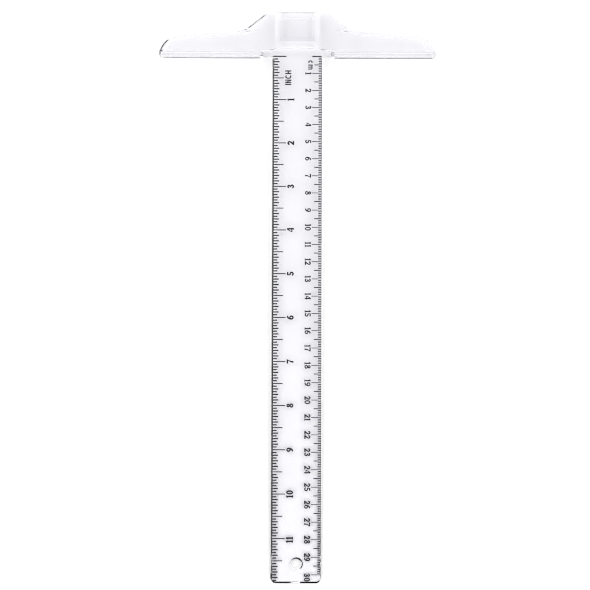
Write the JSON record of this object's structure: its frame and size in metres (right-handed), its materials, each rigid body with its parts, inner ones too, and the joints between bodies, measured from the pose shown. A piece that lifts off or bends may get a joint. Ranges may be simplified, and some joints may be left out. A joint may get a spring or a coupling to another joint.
{
  "type": "t-square",
  "caption": "Clear plastic T-square: a crosspiece with a guide fence and a raised windowed hub, and a flat blade ruled in inches and centimetres.",
  "frame": {"origin": "the zero mark of both scales, on the blade's centre line, at the blade's underside, which lies on the paper", "axes": "+Y along the blade from its free end towards the head, +X from the inch edge to the centimetre edge, +Z out of the printed face"},
  "size_m": [0.1614, 0.3303, 0.008],
  "materials": {
    "clear_head": "clear, glossy, moulded",
    "clear_blade": "clear, glossy, flat",
    "cement": "clear, slightly mottled",
    "ink": "black screen print, satin"
  },
  "bodies": {
    "root": {"head": "clear_head", "blade": "clear_blade", "cement_film": "cement", "inch_graduations": "ink", "inch_numerals": "ink", "inch_unit_label": "ink", "cm_graduations": "ink", "cm_numerals": "ink", "cm_unit_label": "ink"}
  },
  "joints": []
}
